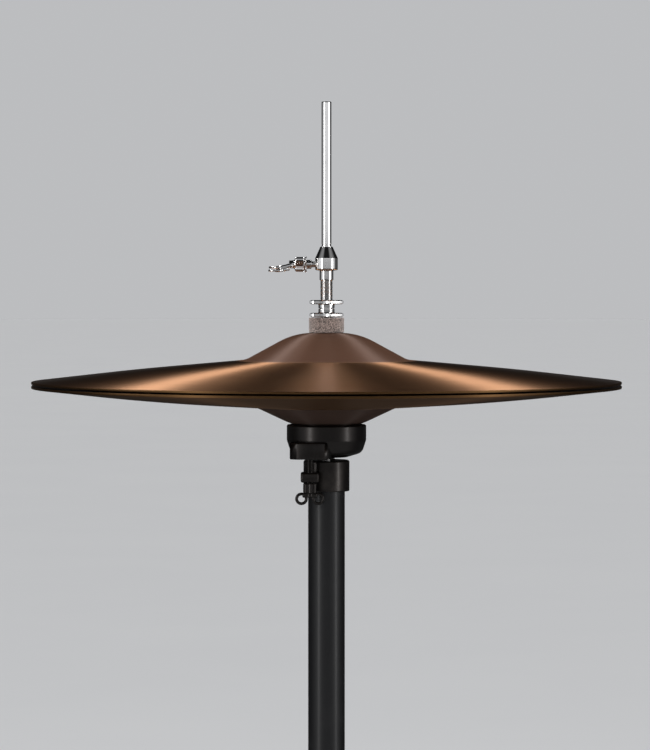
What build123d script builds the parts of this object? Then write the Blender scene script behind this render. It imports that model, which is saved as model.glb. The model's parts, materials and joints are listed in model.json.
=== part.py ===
"""A 14 inch pedal-operated hi-hat: two cymbals, clutch, pull rod, tilter, tube stand, tripod, pedal.

Millimetres.  The origin is on the floor under the tube axis, +Z is up, and the heel of the
pedal points along -Y.  The hats are closed and the pedal is pressed.
"""

import os
from math import asin, atan, cos, degrees, radians, sin

from build123d import *

# ---- driving dimensions -------------------------------------------------------------------

CYMBAL_RADIUS = 177.8
CYMBAL_HOLE = 6.25
TOP_RIM_Z = 830.0
TOP_THICKNESS = 1.2
BOTTOM_THICKNESS = 1.4
RIM_GAP = 1.1
BOW_RADIUS = 116.9
BOW_RISE = 6.9
BOW_FILLET = 1500.0
FLANK_FILLET = 14.0
CROWN_FILLET = 42.0
TOP_BELL_HEIGHT = 29.3
TOP_BELL_BASE = (49.0, 13.0)
TOP_BELL_SHOULDER = 19.0
BOTTOM_BELL_HEIGHT = 24.0
BOTTOM_BELL_BASE = (42.5, 12.0)
BOTTOM_BELL_SHOULDER = 17.0

ROD_RADIUS = 3.0
ROD_TOP_Z = 998.7
ROD_JOINT_Z = 360.0
ROD_BOTTOM_Z = 94.0
ROD_GROOVE_Z = 912.0

UPPER_TUBE_RADIUS = 11.1
UPPER_TUBE_BORE = 9.9
UPPER_TUBE_Z = (420.0, 781.0)
LOWER_TUBE_RADIUS = 14.3
LOWER_TUBE_BORE = 12.8
LOWER_TUBE_Z = (290.0, 545.0)

HOUSING_RADIUS = 21.0
HOUSING_BORE = 17.0
HOUSING_Z = (164.0, 296.0)
SPRING_Z = (170.2, 250.0)
SPRING_RADIUS = 10.0
SPRING_WIRE = 1.4
SPRING_TURNS = 8

PLATE_Z = (3.0, 6.0)
PLATE_Y = (-345.0, 45.0)
PLATE_WIDTH = 84.0
FRAME_TOP_Z = 150.0
HEEL_HINGE_Y = -262.0
HEEL_HINGE_Z = 30.0
CHAIN_PITCH = 12.7
CHAIN_LINKS = 3
CHAIN_TOP_Z = 84.0

LEG_AZIMUTHS = (90.0, 210.0, 330.0)
LEG_PIVOT_RADIUS = 31.0
LEG_TOP_Z = 318.0
LEG_LENGTH = 440.0
LEG_BRACE = 95.0
LEG_DEPTH = 16.0
LEG_WIDTH = 8.0
FOOT_Z = 10.0

BOTTOM_RIM_Z = TOP_RIM_Z - TOP_THICKNESS - RIM_GAP - BOTTOM_THICKNESS
CROWN_Z = TOP_RIM_Z + TOP_BELL_HEIGHT
BOTTOM_CROWN_Z = BOTTOM_RIM_Z - BOTTOM_BELL_HEIGHT
LEG_ANGLE = degrees(asin((LEG_TOP_Z - FOOT_Z) / LEG_LENGTH))
HUB_Z = LEG_TOP_Z - 2 * LEG_BRACE * sin(radians(LEG_ANGLE))
CHAIN_BOTTOM_Z = CHAIN_TOP_Z - CHAIN_LINKS * CHAIN_PITCH


# ---- shared helpers -----------------------------------------------------------------------


def turn(*outline, mode=Mode.ADD):
    """Revolve a closed outline of (radius, height) points about the Z axis."""
    with BuildSketch(Plane.XZ) as section:
        with BuildLine():
            Polyline(*outline, close=True)
        make_face()
    revolve(section.sketch, axis=Axis.Z, mode=mode)


def tube(z_low, z_high, outer, inner):
    """A plain sleeve about the Z axis."""
    turn((inner, z_low), (outer, z_low), (outer, z_high), (inner, z_high))


def rod_along(axis_name, centre, radius, length, mode=Mode.ADD):
    """A cylinder along X, Y or Z through its centre point."""
    turns = {"X": (0, 90, 0), "Y": (90, 0, 0), "Z": (0, 0, 0)}
    with Locations(centre):
        Cylinder(radius, length, rotation=turns[axis_name], mode=mode)


def block(centre, size, mode=Mode.ADD):
    """A rectangular block by its centre and its size."""
    with Locations(centre):
        Box(*size, mode=mode)


def bar(plane, start, end, depth, low, high, mode=Mode.ADD):
    """A flat bar with round ends, from start to end in a plane, between two offsets."""
    with BuildSketch(plane.offset(low)) as section:
        with BuildLine():
            centre_line = Line(start, end)
        SlotArc(centre_line, depth)
    extrude(section.sketch, amount=high - low, mode=mode)


def cymbal_wall(rim_z, bell_base, bell_shoulder, height, thickness, sign):
    """Revolve a cymbal's wall: a slightly arched bow, a soft step, then a domed bell.

    rim_z is the height of the outer face at the rim, bell_base the (radius, rise) where the
    bow meets the bell, bell_shoulder the radius where the flank turns into the flat crown,
    and sign is 1 for a bell that points up and -1 for one that points down.
    """
    with BuildSketch(Plane.XZ) as section:
        with BuildLine():
            faces = []
            for shift in (0.0, thickness):
                outline = [
                    (CYMBAL_RADIUS, 0.0),
                    (BOW_RADIUS, BOW_RISE),
                    bell_base,
                    (bell_shoulder, height),
                    (CYMBAL_HOLE, height),
                ]
                points = [(r, rim_z + sign * (rise - shift)) for r, rise in outline]
                faces.append(FilletPolyline(*points, radius=(BOW_FILLET, FLANK_FILLET, CROWN_FILLET)))
            Line(faces[0] @ 0, faces[1] @ 0)
            Line(faces[0] @ 1, faces[1] @ 1)
        make_face()
    revolve(section.sketch, axis=Axis.Z)


def screw_wings(plane, inner, outer, half_span, lobe, low, high):
    """Two flat wings that spread from a screw's head, as a plate between two offsets."""
    for side in (-1, 1):
        bar(plane, (inner, side * lobe * 0.5), (outer - lobe, side * half_span), 2 * lobe, low, high)


def finish(piece, node):
    """Label a finished piece and write its STEP file."""
    piece.part.label = node
    export_step(piece.part, f"parts/{node}.step")


os.makedirs("parts", exist_ok=True)

# ---- base, frame and pedal ----------------------------------------------------------------

PLATE_CENTRE_Y = (PLATE_Y[0] + PLATE_Y[1]) / 2
PLATE_LENGTH = PLATE_Y[1] - PLATE_Y[0]
FRAME_INNER = 34.0
FRAME_WALL = 6.0
FRAME_DEPTH = 28.0
FRAME_FOOT = 58.0
SCREW_X = 50.0
FRAME_SCREW_PLACES = [(x, y) for x in (-SCREW_X, SCREW_X) for y in (-7, 7)]

with BuildPart() as floor_mat:
    with BuildSketch():
        with Locations((0, PLATE_CENTRE_Y)):
            RectangleRounded(PLATE_WIDTH - 4, PLATE_LENGTH - 4, 8)
        with Locations((SCREW_X - 2, 0), (2 - SCREW_X, 0)):
            RectangleRounded(24, FRAME_DEPTH - 4, 3)
    extrude(amount=PLATE_Z[0])

with BuildPart() as base_plate:
    with BuildSketch(Plane.XY.offset(PLATE_Z[0])):
        with Locations((0, PLATE_CENTRE_Y)):
            RectangleRounded(PLATE_WIDTH, PLATE_LENGTH, 10)
        with Locations((0, 0)):
            RectangleRounded(2 * FRAME_FOOT + 4, FRAME_DEPTH + 2, 4)
    extrude(amount=PLATE_Z[1] - PLATE_Z[0])
    for x, y in FRAME_SCREW_PLACES:
        rod_along("Z", (x, y, PLATE_Z[1]), 2.5, 4, mode=Mode.SUBTRACT)

with BuildPart() as stand_frame:
    with BuildSketch(Plane.XZ.offset(-FRAME_DEPTH / 2)) as arch:
        with BuildLine():
            FilletPolyline(
                (-FRAME_FOOT, PLATE_Z[1]),
                (-FRAME_FOOT, PLATE_Z[1] + 5),
                (-FRAME_INNER - FRAME_WALL, PLATE_Z[1] + 5),
                (-FRAME_INNER - FRAME_WALL, FRAME_TOP_Z),
                (FRAME_INNER + FRAME_WALL, FRAME_TOP_Z),
                (FRAME_INNER + FRAME_WALL, PLATE_Z[1] + 5),
                (FRAME_FOOT, PLATE_Z[1] + 5),
                (FRAME_FOOT, PLATE_Z[1]),
                (FRAME_INNER, PLATE_Z[1]),
                (FRAME_INNER, FRAME_TOP_Z - 12),
                (-FRAME_INNER, FRAME_TOP_Z - 12),
                (-FRAME_INNER, PLATE_Z[1]),
                radius=(0.5, 1.5, 3, 16, 16, 3, 1.5, 0.5, 0.5, 12, 12, 0.5),
                close=True,
            )
        make_face()
    extrude(arch.sketch, amount=FRAME_DEPTH)
    tube(FRAME_TOP_Z - 12, HOUSING_Z[0] + 6, 8.0, 3.6)
    rod_along("Z", (0, 0, FRAME_TOP_Z - 6), 3.6, 20, mode=Mode.SUBTRACT)
    for x, y in FRAME_SCREW_PLACES:
        rod_along("Z", (x, y, PLATE_Z[1] + 2.5), 2.5, 9, mode=Mode.SUBTRACT)

with BuildPart() as frame_screws:
    for x, y in FRAME_SCREW_PLACES:
        rod_along("Z", (x, y, PLATE_Z[1] + 7.5), 4.2, 5)
        rod_along("Z", (x, y, PLATE_Z[1] + 1.5), 2.5, 7)
        with BuildSketch(Plane.XY.offset(PLATE_Z[1] + 10)) as socket:
            with Locations((x, y)):
                RegularPolygon(2.3, 6)
        extrude(socket.sketch, amount=-3, mode=Mode.SUBTRACT)

with BuildPart() as heel_plate:
    with BuildSketch(Plane.YZ.offset(-35)) as wedge:
        with BuildLine():
            FilletPolyline(
                (-341, PLATE_Z[1]),
                (-341, 14),
                (-336, 28),
                (-271, 34),
                (-271, PLATE_Z[1]),
                radius=(1, 4, 3, 3, 1),
                close=True,
            )
        make_face()
    extrude(wedge.sketch, amount=70)
    for side in (-1, 1):
        bar(Plane.YZ, (-275, 22), (HEEL_HINGE_Y, HEEL_HINGE_Z), 16, side * 31.5 - 3.5, side * 31.5 + 3.5)
    block((0, -272, 20), (56.0, 6.0, 40.0), mode=Mode.SUBTRACT)
    rod_along("X", (0, HEEL_HINGE_Y, HEEL_HINGE_Z), 3.0, 80, mode=Mode.SUBTRACT)

with BuildPart() as heel_hinge_pin:
    rod_along("X", (0, HEEL_HINGE_Y, HEEL_HINGE_Z), 3.0, 70)
    for side in (-1, 1):
        rod_along("X", (side * 36.5, HEEL_HINGE_Y, HEEL_HINGE_Z), 5.0, 3)

# The pedal's own plane: x to the right, y up the board from the heel hinge to the chain pin.
BOARD_ANGLE = degrees(atan((CHAIN_BOTTOM_Z - HEEL_HINGE_Z) / abs(HEEL_HINGE_Y)))
BOARD_PLANE = Plane(
    origin=(0, HEEL_HINGE_Y, HEEL_HINGE_Z),
    x_dir=(1, 0, 0),
    z_dir=(0, -sin(radians(BOARD_ANGLE)), cos(radians(BOARD_ANGLE))),
)
BOARD_LENGTH = abs(HEEL_HINGE_Y) / cos(radians(BOARD_ANGLE))
BOARD_UNDER = -9.0
BOARD_TOP = -4.5
KNUCKLE_RADIUS = 6.5
CLEVIS_INNER = 5.8
CLEVIS_OUTER = 8.8

with BuildPart() as footboard:
    with BuildSketch(BOARD_PLANE.offset(BOARD_UNDER)) as board:
        with BuildLine():
            FilletPolyline(
                (-24, 12),
                (-34, 30),
                (-41, 130),
                (-31, BOARD_LENGTH + 12),
                (31, BOARD_LENGTH + 12),
                (41, 130),
                (34, 30),
                (24, 12),
                radius=(2, 10, 60, 12, 12, 60, 10, 2),
                close=True,
            )
        make_face()
        with Locations((0, 80), (0, 110), (0, 140), (0, 170)):
            SlotOverall(34, 9, mode=Mode.SUBTRACT)
        with Locations((0, BOARD_LENGTH)):
            Rectangle(2 * CLEVIS_INNER, 14, mode=Mode.SUBTRACT)
    extrude(board.sketch, amount=BOARD_TOP - BOARD_UNDER)
    with BuildSketch(BOARD_PLANE.offset(BOARD_UNDER)) as tongue:
        with Locations((0, 9)):
            Rectangle(48, 12)
    extrude(tongue.sketch, amount=BOARD_TOP - BOARD_UNDER)
    rod_along("X", (0, HEEL_HINGE_Y, HEEL_HINGE_Z), KNUCKLE_RADIUS, 50)
    with BuildSketch(BOARD_PLANE.offset(BOARD_UNDER)) as web:
        with Locations((0, 4)):
            Rectangle(50, 8)
    extrude(web.sketch, amount=6)
    rod_along("X", (0, HEEL_HINGE_Y, HEEL_HINGE_Z), 3.1, 60, mode=Mode.SUBTRACT)

with BuildPart() as footboard_grips:
    with BuildSketch(BOARD_PLANE.offset(BOARD_TOP)) as grips:
        with Locations((0, 62), (0, 95), (0, 125), (0, 155), (0, 188), (0, 212)):
            SlotOverall(52, 6)
    extrude(grips.sketch, amount=1.6)

with BuildPart() as toe_clamp:
    for side in (-1, 1):
        low = min(side * CLEVIS_INNER, side * CLEVIS_OUTER)
        with BuildSketch(Plane.YZ.offset(low)) as cheek:
            with Locations((0, CHAIN_BOTTOM_Z)):
                Circle(6.0)
                Circle(2.9, mode=Mode.SUBTRACT)
        extrude(cheek.sketch, amount=CLEVIS_OUTER - CLEVIS_INNER)
    with BuildSketch(BOARD_PLANE.offset(BOARD_TOP)) as clamp_foot:
        with Locations((0, BOARD_LENGTH)):
            RectangleRounded(34, 16, 3)
            Rectangle(2 * CLEVIS_INNER, 20, mode=Mode.SUBTRACT)
    extrude(clamp_foot.sketch, amount=2.0)
    add(footboard.part, mode=Mode.SUBTRACT)

with BuildPart() as toe_clamp_screws:
    for x in (-13, 13):
        with BuildSketch(BOARD_PLANE.offset(BOARD_TOP + 2)) as head:
            with Locations((x, BOARD_LENGTH)):
                Circle(2.8)
                RegularPolygon(1.5, 6, mode=Mode.SUBTRACT)
        extrude(head.sketch, amount=2.5)

# ---- spring housing, tubes and height clamp -----------------------------------------------

DIAL_Z = (FRAME_TOP_Z + 0.3, HOUSING_Z[0] - 0.3)

with BuildPart() as tension_dial:
    tube(DIAL_Z[0], DIAL_Z[1], 25.0, 8.3)
    with PolarLocations(25.6, 24):
        with Locations((0, 0, (DIAL_Z[0] + DIAL_Z[1]) / 2)):
            Cylinder(1.6, 30, mode=Mode.SUBTRACT)

with BuildPart() as spring_housing:
    tube(HOUSING_Z[0], HOUSING_Z[0] + 6, HOUSING_RADIUS, 8.0)
    tube(HOUSING_Z[0] + 6, HOUSING_Z[1] - 12, HOUSING_RADIUS, HOUSING_BORE)
    tube(HOUSING_Z[1] - 12, HOUSING_Z[1], HOUSING_RADIUS, LOWER_TUBE_RADIUS)
    tube(HOUSING_Z[1] - 12, LOWER_TUBE_Z[0], HOUSING_RADIUS, LOWER_TUBE_BORE)
    with BuildSketch(Plane.XZ.offset(-30)) as window:
        with Locations((0, 238)):
            SlotCenterToCenter(56, 13, rotation=90)
    extrude(window.sketch, amount=60, mode=Mode.SUBTRACT)

with BuildPart() as return_spring:
    with BuildLine() as coil:
        Helix(
            pitch=(SPRING_Z[1] - SPRING_Z[0] - 2 * SPRING_WIRE) / SPRING_TURNS,
            height=SPRING_Z[1] - SPRING_Z[0] - 2 * SPRING_WIRE,
            radius=SPRING_RADIUS,
            center=(0, 0, SPRING_Z[0] + SPRING_WIRE),
        )
    with BuildSketch(Plane(origin=coil.line @ 0, z_dir=coil.line % 0)):
        Circle(SPRING_WIRE)
    sweep()

with BuildPart() as lower_tube:
    tube(*LOWER_TUBE_Z, LOWER_TUBE_RADIUS, LOWER_TUBE_BORE)

with BuildPart() as upper_tube:
    tube(*UPPER_TUBE_Z, UPPER_TUBE_RADIUS, UPPER_TUBE_BORE)

COLLAR_Z = (508.0, 549.0)
LUG_X = 25.0
LUG_Z = 528.0
LUG_HALF = 10.0
LUG_SLIT = 1.2

with BuildPart() as height_bush:
    turn(
        (UPPER_TUBE_RADIUS + 0.1, COLLAR_Z[0] - 4),
        (LOWER_TUBE_BORE, COLLAR_Z[0] - 4),
        (LOWER_TUBE_BORE, LOWER_TUBE_Z[1]),
        (LOWER_TUBE_RADIUS, LOWER_TUBE_Z[1]),
        (LOWER_TUBE_RADIUS, COLLAR_Z[1] - 2.5),
        (UPPER_TUBE_RADIUS + 0.1, COLLAR_Z[1] - 2.5),
    )

with BuildPart() as height_collar:
    turn(
        (LOWER_TUBE_RADIUS, COLLAR_Z[0]),
        (18.0, COLLAR_Z[0]),
        (18.8, COLLAR_Z[0] + 0.8),
        (18.8, COLLAR_Z[1] - 1.5),
        (17.3, COLLAR_Z[1]),
        (UPPER_TUBE_RADIUS + 0.4, COLLAR_Z[1]),
        (UPPER_TUBE_RADIUS + 0.4, COLLAR_Z[1] - 2.5),
        (LOWER_TUBE_RADIUS, COLLAR_Z[1] - 2.5),
    )
    with BuildSketch(Plane.XZ.offset(-LUG_HALF)) as lug:
        with Locations((LUG_X - 4, LUG_Z)):
            RectangleRounded(24, 24, 8)
        Circle(LOWER_TUBE_RADIUS, mode=Mode.SUBTRACT)
    extrude(lug.sketch, amount=2 * LUG_HALF)
    rod_along("Z", (0, 0, LUG_Z), LOWER_TUBE_RADIUS, 34, mode=Mode.SUBTRACT)
    block((24, 0, LUG_Z), (24, 2 * LUG_SLIT, 60), mode=Mode.SUBTRACT)
    rod_along("Y", (LUG_X, 0, LUG_Z), 3.05, 60, mode=Mode.SUBTRACT)


def cross_wing_bolt(x, z, lug_half, collar_radius, wing_reach):
    """A wing bolt along Y through a clamp lug: shank, washer, head and two flat wings."""
    head_low = lug_half + 0.4
    rod_along("Y", (x, -1.0, z), 3.0, 2 * lug_half + 6)
    rod_along("Y", (x, -head_low - 5.0, z), collar_radius, 10.0)
    rod_along("Y", (x, lug_half + 2.6, z), 5.2, 4.4)
    plane = Plane(origin=(x, -head_low, z), x_dir=(0, -1, 0), z_dir=(1, 0, 0))
    screw_wings(plane, 7.0, wing_reach, 14.0, 5.5, -1.3, 1.3)


with BuildPart() as height_wing_bolt:
    cross_wing_bolt(LUG_X, LUG_Z, LUG_HALF, 5.6, 30.0)

# ---- tripod -------------------------------------------------------------------------------

LEG_COLLAR_Z = (LEG_TOP_Z - 13.0, LEG_TOP_Z + 15.0)
LEG_COLLAR_BORE = LOWER_TUBE_RADIUS + 0.1
LEG_COLLAR_RADIUS = 18.6
EAR_GAP = LEG_WIDTH / 2 + 0.4
EAR_WIDTH = 3.0
BRACE_WIDTH = 2.5
PIVOT_PIN = 2.5


def leg_plane(azimuth):
    """The upright plane of one leg: x outwards from the tube, y up."""
    outwards = (cos(radians(azimuth)), sin(radians(azimuth)), 0)
    return Plane(origin=(0, 0, 0), x_dir=outwards, z_dir=(outwards[1], -outwards[0], 0))


def along_leg(distance):
    """A point on a leg's centre line in its plane, measured from its top pivot."""
    angle = radians(LEG_ANGLE)
    return (LEG_PIVOT_RADIUS + distance * cos(angle), LEG_TOP_Z - distance * sin(angle))


def pivot(plane, place, radius, half_length, mode=Mode.ADD):
    """A pin across a leg's plane, centred on it."""
    with BuildSketch(plane.offset(-half_length)) as section:
        with Locations(place):
            Circle(radius)
    extrude(section.sketch, amount=2 * half_length, mode=mode)


with BuildPart() as leg_collar:
    tube(*LEG_COLLAR_Z, LEG_COLLAR_RADIUS, LEG_COLLAR_BORE)
    for azimuth in LEG_AZIMUTHS:
        for side in (-1, 1):
            low = EAR_GAP if side > 0 else -EAR_GAP - EAR_WIDTH
            bar(leg_plane(azimuth), (12, LEG_TOP_Z), along_leg(0), 15, low, low + EAR_WIDTH)
        pivot(leg_plane(azimuth), along_leg(0), PIVOT_PIN + 0.05, 12, mode=Mode.SUBTRACT)
    with BuildSketch(Plane.YZ.offset(-9)) as boss:
        with Locations((-21, LEG_COLLAR_Z[1] - 8)):
            RectangleRounded(18, 15, 4)
    extrude(boss.sketch, amount=18)
    rod_along("Z", (0, 0, LEG_TOP_Z), LEG_COLLAR_BORE, 40, mode=Mode.SUBTRACT)
    rod_along("Y", (0, -24, LEG_COLLAR_Z[1] - 8), 3.05, 20, mode=Mode.SUBTRACT)

with BuildPart() as leg_collar_wing_bolt:
    rod_along("Y", (0, -22.4, LEG_COLLAR_Z[1] - 8), 3.0, 15.8)
    rod_along("Y", (0, -35.3, LEG_COLLAR_Z[1] - 8), 5.6, 10)
    screw_wings(
        Plane(origin=(0, -30, LEG_COLLAR_Z[1] - 8), x_dir=(0, -1, 0), z_dir=(0, 0, 1)),
        7.0, 30.0, 14.0, 5.5, -1.3, 1.3,
    )

with BuildPart() as brace_hub:
    tube(HUB_Z - 10, HUB_Z + 10, HOUSING_RADIUS + 2, HOUSING_RADIUS)
    for azimuth in LEG_AZIMUTHS:
        bar(
            leg_plane(azimuth),
            (18, HUB_Z),
            (LEG_PIVOT_RADIUS, HUB_Z),
            14,
            -LEG_WIDTH / 2,
            LEG_WIDTH / 2,
        )
    rod_along("Z", (0, 0, HUB_Z), HOUSING_RADIUS, 40, mode=Mode.SUBTRACT)

legs = []
for azimuth in LEG_AZIMUTHS:
    plane = leg_plane(azimuth)
    with BuildPart() as leg:
        bar(plane, along_leg(0), along_leg(LEG_LENGTH), LEG_DEPTH, -LEG_WIDTH / 2, LEG_WIDTH / 2)
        for place in (along_leg(0), along_leg(LEG_BRACE)):
            pivot(plane, place, PIVOT_PIN, 10, mode=Mode.SUBTRACT)
    with BuildPart() as leg_pins:
        pivot(plane, along_leg(0), PIVOT_PIN, EAR_GAP + EAR_WIDTH + 0.3)
        pivot(plane, along_leg(LEG_BRACE), PIVOT_PIN, EAR_GAP + BRACE_WIDTH + 0.3)
        for place, reach in ((0, EAR_GAP + EAR_WIDTH), (LEG_BRACE, EAR_GAP + BRACE_WIDTH)):
            for side in (-1, 1):
                low = reach + 0.3 if side > 0 else -reach - 2.1
                with BuildSketch(plane.offset(low)) as head:
                    with Locations(along_leg(place)):
                        Circle(4.2)
                extrude(head.sketch, amount=1.8)
    with BuildPart() as foot:
        x, y = plane.x_dir.X, plane.x_dir.Y
        reach = along_leg(LEG_LENGTH)[0]
        with Locations((x * reach, y * reach, 0)):
            Cone(15, 11, 24, align=(Align.CENTER, Align.CENTER, Align.MIN))
        bar(plane, along_leg(0), along_leg(LEG_LENGTH), LEG_DEPTH, -LEG_WIDTH / 2, LEG_WIDTH / 2,
            mode=Mode.SUBTRACT)
    with BuildPart() as brace:
        for side in (-1, 1):
            low = EAR_GAP if side > 0 else -EAR_GAP - BRACE_WIDTH
            bar(plane, (LEG_PIVOT_RADIUS, HUB_Z), along_leg(LEG_BRACE), 12, low, low + BRACE_WIDTH)
        pivot(plane, along_leg(LEG_BRACE), PIVOT_PIN + 0.05, 12, mode=Mode.SUBTRACT)
        pivot(plane, (LEG_PIVOT_RADIUS, HUB_Z), PIVOT_PIN, 12, mode=Mode.SUBTRACT)
    legs.append((leg, leg_pins, foot, brace))

# ---- pull rods and chain ------------------------------------------------------------------

SPRING_CAP_Z = (SPRING_Z[1] + 0.2, SPRING_Z[1] + 6.2)
YOKE_SLOT = 5.6
YOKE_HALF = 9.0

with BuildPart() as upper_pull_rod:
    turn(
        (0, ROD_JOINT_Z + 0.1),
        (ROD_RADIUS, ROD_JOINT_Z + 0.1),
        (ROD_RADIUS, ROD_GROOVE_Z),
        (ROD_RADIUS - 0.3, ROD_GROOVE_Z + 0.3),
        (ROD_RADIUS - 0.3, ROD_GROOVE_Z + 0.6),
        (ROD_RADIUS, ROD_GROOVE_Z + 0.9),
        (ROD_RADIUS, ROD_TOP_Z - 0.5),
        (ROD_RADIUS - 0.5, ROD_TOP_Z),
        (0, ROD_TOP_Z),
    )

with BuildPart() as rod_coupling_nut:
    with BuildSketch(Plane.XY.offset(ROD_JOINT_Z - 15)) as hexagon:
        RegularPolygon(5.8, 6)
        Circle(ROD_RADIUS, mode=Mode.SUBTRACT)
    extrude(hexagon.sketch, amount=30)

with BuildPart() as lower_pull_rod:
    rod_along("Z", (0, 0, (ROD_BOTTOM_Z + ROD_JOINT_Z) / 2), ROD_RADIUS, ROD_JOINT_Z - ROD_BOTTOM_Z)

with BuildPart() as spring_cap:
    turn(
        (ROD_RADIUS, SPRING_CAP_Z[0]),
        (12.3, SPRING_CAP_Z[0]),
        (12.3, SPRING_CAP_Z[1] - 3),
        (8.0, SPRING_CAP_Z[1]),
        (ROD_RADIUS, SPRING_CAP_Z[1]),
    )

with BuildPart() as chain_yoke:
    rod_along("Z", (0, 0, CHAIN_TOP_Z + 6), YOKE_HALF, 20)
    block((0, 0, CHAIN_TOP_Z - 1), (2 * YOKE_SLOT, 30, 18), mode=Mode.SUBTRACT)
    rod_along("Z", (0, 0, ROD_BOTTOM_Z + 6), ROD_RADIUS, 12, mode=Mode.SUBTRACT)
    rod_along("X", (0, 0, CHAIN_TOP_Z), 2.0, 40, mode=Mode.SUBTRACT)

with BuildPart() as chain_links:
    for link in range(CHAIN_LINKS):
        top = CHAIN_TOP_Z - link * CHAIN_PITCH
        inside = 2.2 if link % 2 else 3.4
        for side in (-1, 1):
            low = inside if side > 0 else -inside - 1.0
            bar(Plane.YZ, (0, top), (0, top - CHAIN_PITCH), 8.4, low, low + 1.0)
    for joint in range(CHAIN_LINKS + 1):
        rod_along("X", (0, 0, CHAIN_TOP_Z - joint * CHAIN_PITCH), 1.95, 14, mode=Mode.SUBTRACT)

with BuildPart() as chain_pins:
    for joint in range(CHAIN_LINKS + 1):
        half = {0: YOKE_HALF - 0.3, CHAIN_LINKS: CLEVIS_OUTER - 0.5}.get(joint, 4.9)
        rod_along("X", (0, 0, CHAIN_TOP_Z - joint * CHAIN_PITCH), 1.9, 2 * half)

with BuildPart() as chain_rollers:
    for joint in range(CHAIN_LINKS + 1):
        with BuildSketch(Plane.YZ.offset(-2.0)) as roller:
            with Locations((0, CHAIN_TOP_Z - joint * CHAIN_PITCH)):
                Circle(3.4)
                Circle(1.95, mode=Mode.SUBTRACT)
        extrude(roller.sketch, amount=4.0)

# ---- clutch -------------------------------------------------------------------------------

CLUTCH_BORE = ROD_RADIUS + 0.15
THREAD_RADIUS = 4.0
NUT_BORE = THREAD_RADIUS + 0.05
FELT_RADIUS = 10.8
FELT_BORE = 5.3
UPPER_FELT_Z = (CROWN_Z + 0.05, CROWN_Z + 9.3)
LOWER_FELT_Z = (CROWN_Z - TOP_THICKNESS - 7.5, CROWN_Z - TOP_THICKNESS - 0.05)
NUT_RADIUS = 10.15
HUB_RADIUS = 4.9
FLANGE = 2.4
LOWER_NUT_Z = UPPER_FELT_Z[1] + 0.35
UPPER_NUT_Z = LOWER_NUT_Z + 10.1
CLUTCH_BODY_Z = UPPER_NUT_Z + 18.0
WING_BOLT_Z = CLUTCH_BODY_Z + 3.6
BOTTOM_NUT_Z = (LOWER_FELT_Z[0] - 6.0, LOWER_FELT_Z[0] - 0.35)

with BuildPart() as clutch_body:
    turn(
        (CLUTCH_BORE, BOTTOM_NUT_Z[0] - 1.5),
        (THREAD_RADIUS - 0.6, BOTTOM_NUT_Z[0] - 1.5),
        (THREAD_RADIUS, BOTTOM_NUT_Z[0] - 0.9),
        (THREAD_RADIUS, CLUTCH_BODY_Z - 6.0),
        (THREAD_RADIUS + 0.2, CLUTCH_BODY_Z - 5.8),
        (THREAD_RADIUS + 0.2, CLUTCH_BODY_Z - 0.5),
        (6.2, CLUTCH_BODY_Z),
        (6.85, CLUTCH_BODY_Z + 0.6),
        (6.85, CLUTCH_BODY_Z + 7.3),
        (4.6, CLUTCH_BODY_Z + 14.2),
        (CLUTCH_BORE, CLUTCH_BODY_Z + 14.2),
    )
    rod_along("X", (-8, 0, WING_BOLT_Z), 1.95, 10, mode=Mode.SUBTRACT)

with BuildPart() as clutch_wing_bolt:
    rod_along("X", (-9.0, 0, WING_BOLT_Z), 1.9, 11)
    rod_along("X", (-14.4, 0, WING_BOLT_Z), 4.9, 3.0)
    rod_along("X", (-18.8, 0, WING_BOLT_Z), 3.6, 6.4)
    screw_wings(
        Plane(origin=(0, 0, WING_BOLT_Z), x_dir=(-1, 0, 0), z_dir=(0, -0.17, 0.985)),
        18.0, 35.6, 10.5, 5.0, -0.8, 0.8,
    )


def flanged_nut(flange_z, hub_end_z):
    """A round thumb nut: a knurled flange at flange_z with a hub that ends at hub_end_z."""
    direction = 1 if hub_end_z > flange_z else -1
    inner_face = flange_z + direction * FLANGE
    turn(
        (NUT_BORE, flange_z),
        (NUT_RADIUS - 0.4, flange_z),
        (NUT_RADIUS, flange_z + direction * 0.4),
        (NUT_RADIUS, inner_face - direction * 0.4),
        (NUT_RADIUS - 0.4, inner_face),
        (HUB_RADIUS, inner_face),
        (HUB_RADIUS, hub_end_z),
        (NUT_BORE, hub_end_z),
    )


with BuildPart() as clutch_lower_nut:
    flanged_nut(LOWER_NUT_Z, LOWER_NUT_Z + 5.0)

with BuildPart() as clutch_upper_nut:
    flanged_nut(UPPER_NUT_Z, LOWER_NUT_Z + 5.2)

with BuildPart() as clutch_bottom_nut:
    flanged_nut(BOTTOM_NUT_Z[1], BOTTOM_NUT_Z[0])

with BuildPart() as clutch_upper_felt:
    tube(*UPPER_FELT_Z, FELT_RADIUS, FELT_BORE)

with BuildPart() as clutch_lower_felt:
    tube(*LOWER_FELT_Z, FELT_RADIUS - 0.8, FELT_BORE)

# ---- cymbals ------------------------------------------------------------------------------

with BuildPart() as top_cymbal:
    cymbal_wall(TOP_RIM_Z, TOP_BELL_BASE, TOP_BELL_SHOULDER, TOP_BELL_HEIGHT, TOP_THICKNESS, 1)

with BuildPart() as bottom_cymbal:
    cymbal_wall(
        BOTTOM_RIM_Z, BOTTOM_BELL_BASE, BOTTOM_BELL_SHOULDER, BOTTOM_BELL_HEIGHT, BOTTOM_THICKNESS, -1
    )

# ---- tilter and seat ----------------------------------------------------------------------

SLEEVE_Z = (763.8, 782.5)
SLEEVE_RADIUS = 13.9
CUP_RADIUS = 24.0
CUP_TOP_Z = 804.0
CUP_BORE = 4.4
POST_RADIUS = 5.6
FELT_SEAT_Z = 796.2
TILT_PIN = (18.0, 778.0)
TILT_SCREW = (-10.0, -18.5)
TILT_BLOCK = (-9.5, -18.0, 789.0)

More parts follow.
